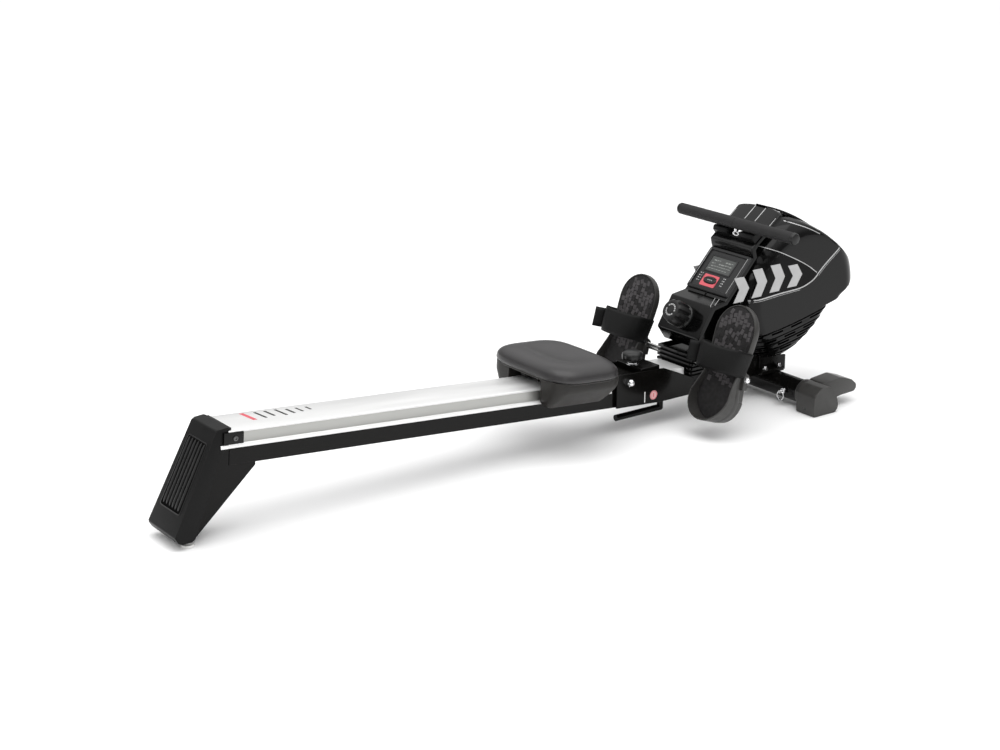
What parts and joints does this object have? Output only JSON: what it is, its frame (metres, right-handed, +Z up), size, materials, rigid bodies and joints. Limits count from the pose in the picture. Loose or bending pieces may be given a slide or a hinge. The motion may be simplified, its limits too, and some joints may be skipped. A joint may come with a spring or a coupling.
{
  "type": "rowing machine",
  "caption": "Folding magnetic rowing machine: inclined aluminium rail with sliding padded seat, pivoting footplates with straps, pull handle on a strap, console and flywheel housing.",
  "frame": {"origin": "on the floor, under the middle of the machine's bounding box", "axes": "+X forwards to the flywheel housing along the rail, +Y to the rower's left, +Z up"},
  "size_m": [1.983, 0.5, 0.4875],
  "materials": {
    "alu_rail": "satin anodised",
    "black_steel": "satin powder coat",
    "black_plastic": "fine moulded grain",
    "gloss_black": "gloss",
    "knob_plastic": "satin",
    "monitor_plastic": "satin dark grey",
    "screen": "display window",
    "button_red": "moulded red",
    "chrome": "polished",
    "bright_steel": "turned",
    "foot_pad": "light grey",
    "rubber": "matte textured",
    "seat_foam": "moulded soft polyurethane skin",
    "grip_foam": "closed-cell foam",
    "webbing": "woven",
    "roller_plastic": "nylon",
    "flywheel_iron": "machined"
  },
  "bodies": {
    "frame": {"front_beam": "black_steel", "fold_plate_left": "black_steel", "fold_plate_right": "black_steel", "fold_block": "black_steel", "rail_stub": "alu_rail", "stabiliser_tube": "black_steel", "stabiliser_saddle": "black_steel", "cap_left": "black_plastic", "cap_right": "black_plastic", "frame_bolts": "chrome", "lower_shroud": "black_plastic", "post_plates": "black_steel", "housing_left": "gloss_black", "housing_right": "gloss_black", "console_case": "black_plastic", "monitor_case": "monitor_plastic", "monitor_screen": "screen", "handle_rest": "black_plastic", "flywheel_axle": "bright_steel", "drive_belt": "rubber", "footplate_axle": "bright_steel", "fold_bolt": "chrome"},
    "rail": {"rail_profile": "alu_rail", "rail_beam": "black_steel", "rear_leg": "black_steel", "rear_cover": "black_plastic", "rear_feet": "foot_pad", "rail_end_plate": "black_steel", "rail_screws": "chrome", "rail_stops": "rubber"},
    "seat": {"seat_cushion": "seat_foam", "seat_carriage": "black_plastic", "seat_axles": "bright_steel"},
    "front_roller_pair": {"front_rollers": "roller_plastic"},
    "rear_roller_pair": {"rear_rollers": "roller_plastic"},
    "lock_knob": {"lock_knob": "knob_plastic"},
    "l_pin": {"l_pin": "black_steel"},
    "transport_wheel_left": {"wheel_left": "rubber"},
    "transport_wheel_right": {"wheel_right": "rubber"},
    "pull_pin": {"pull_pin": "chrome"},
    "pull_ring": {"pull_ring": "chrome"},
    "monitor_button": {"monitor_button": "button_red"},
    "tension_knob": {"tension_knob": "knob_plastic"},
    "magnets": {"magnet_bracket": "bright_steel"},
    "handle": {"handle_bar": "bright_steel", "handle_grip": "grip_foam", "handle_eye": "chrome", "strap_1": "webbing"},
    "strap_b": {"strap_2": "webbing"},
    "strap_c": {"strap_3": "webbing"},
    "strap_d": {"strap_4": "webbing"},
    "spool": {"strap_spool": "roller_plastic"},
    "flywheel": {"flywheel": "flywheel_iron", "flywheel_bearings": "bright_steel"},
    "footplate_left": {"footplate_left": "black_plastic", "foot_strap_left": "webbing", "sole_pad_left": "rubber"},
    "footplate_right": {"footplate_right": "black_plastic", "foot_strap_right": "webbing", "sole_pad_right": "rubber"}
  },
  "joints": [
    {"name": "rail_fold", "type": "hinge", "parent": "frame", "child": "rail", "pos_m": [0.2165, 0, 0.1307], "axis": [0, -1, 0], "range_deg": [-85, 0]},
    {"name": "seat_slide", "type": "slide", "parent": "rail", "child": "seat", "axis": [-0.9967, 0, 0.0808], "range_m": [0, 0.737]},
    {"name": "front_roller_spin", "type": "hinge", "parent": "seat", "child": "front_roller_pair", "pos_m": [0.09314, 0, 0.16774], "axis": [0, 1, 0], "range_deg": [-4400, 4400]},
    {"name": "rear_roller_spin", "type": "hinge", "parent": "seat", "child": "rear_roller_pair", "pos_m": [-0.02647, 0, 0.17743], "axis": [0, 1, 0], "range_deg": [-4400, 4400]},
    {"name": "lock_knob_turn", "type": "hinge", "parent": "frame", "child": "lock_knob", "pos_m": [0.2695, 0, 0.16], "axis": [0, 0, 1], "range_deg": [0, 1080]},
    {"name": "l_pin_swivel", "type": "hinge", "parent": "frame", "child": "l_pin", "pos_m": [0.3625, 0, 0.04], "axis": [0, 0, 1], "range_deg": [-60, 60]},
    {"name": "wheel_left_spin", "type": "hinge", "parent": "frame", "child": "transport_wheel_left", "pos_m": [0.7875, 0.185, 0.04], "axis": [0, 1, 0], "continuous": true},
    {"name": "wheel_right_spin", "type": "hinge", "parent": "frame", "child": "transport_wheel_right", "pos_m": [0.7875, -0.185, 0.04], "axis": [0, 1, 0], "continuous": true},
    {"name": "pull_pin_slide", "type": "slide", "parent": "frame", "child": "pull_pin", "axis": [-1, 0, 0], "range_m": [0, 0.008], "stiffness_N_per_m": 400, "springref_m": -0.005},
    {"name": "pull_ring_swing", "type": "hinge", "parent": "pull_pin", "child": "pull_ring", "pos_m": [0.6605, -0.12, 0.038], "axis": [0, 1, 0], "range_deg": [-10, 80]},
    {"name": "monitor_button_press", "type": "slide", "parent": "frame", "child": "monitor_button", "axis": [0.7349, 0, -0.6782], "range_m": [0, 0.0015], "stiffness_N_per_m": 400, "springref_m": -0.001},
    {"name": "tension_turn", "type": "hinge", "parent": "frame", "child": "tension_knob", "pos_m": [0.43397, 0, 0.24479], "axis": [-0.8572, 0, 0.515], "range_deg": [0, 270]},
    {"name": "magnet_shift", "type": "slide", "parent": "frame", "child": "magnets", "axis": [0, 0, 1], "range_m": [0, 0.0085]},
    {"name": "handle_pull", "type": "slide", "parent": "frame", "child": "handle", "axis": [-0.9848, 0, 0.1736], "range_m": [0, 0.88], "stiffness_N_per_m": 12, "springref_m": -0.8},
    {"name": "strap_b_slide", "type": "slide", "parent": "frame", "child": "strap_b", "axis": [-0.9848, 0, 0.1736], "range_m": [0, 0.88]},
    {"name": "strap_c_slide", "type": "slide", "parent": "frame", "child": "strap_c", "axis": [-0.9848, 0, 0.1736], "range_m": [0, 0.88]},
    {"name": "strap_d_slide", "type": "slide", "parent": "frame", "child": "strap_d", "axis": [-0.9848, 0, 0.1736], "range_m": [0, 0.88]},
    {"name": "spool_spin", "type": "hinge", "parent": "frame", "child": "spool", "pos_m": [0.6295, 0, 0.25], "axis": [0, 1, 0], "range_deg": [-1400, 1400]},
    {"name": "flywheel_spin", "type": "hinge", "parent": "frame", "child": "flywheel", "pos_m": [0.8045, 0, 0.268], "axis": [0, 1, 0], "continuous": true},
    {"name": "footplate_left_tilt", "type": "hinge", "parent": "frame", "child": "footplate_left", "pos_m": [0.4235, 0.181, 0.1445], "axis": [0, 1, 0], "range_deg": [-25, 17]},
    {"name": "footplate_right_tilt", "type": "hinge", "parent": "frame", "child": "footplate_right", "pos_m": [0.4235, -0.181, 0.1445], "axis": [0, 1, 0], "range_deg": [-25, 17]}
  ],
  "couplings": [
    {"joint": "front_roller_spin", "follows": "seat_slide", "rad_per_m": -100},
    {"joint": "rear_roller_spin", "follows": "seat_slide", "rad_per_m": -100},
    {"joint": "magnet_shift", "follows": "tension_turn", "m_per_rad": 0.001697},
    {"joint": "strap_b_slide", "follows": "handle_pull", "ratio": 0.75},
    {"joint": "strap_c_slide", "follows": "handle_pull", "ratio": 0.5},
    {"joint": "strap_d_slide", "follows": "handle_pull", "ratio": 0.25},
    {"joint": "spool_spin", "follows": "handle_pull", "rad_per_m": -26.316}
  ]
}
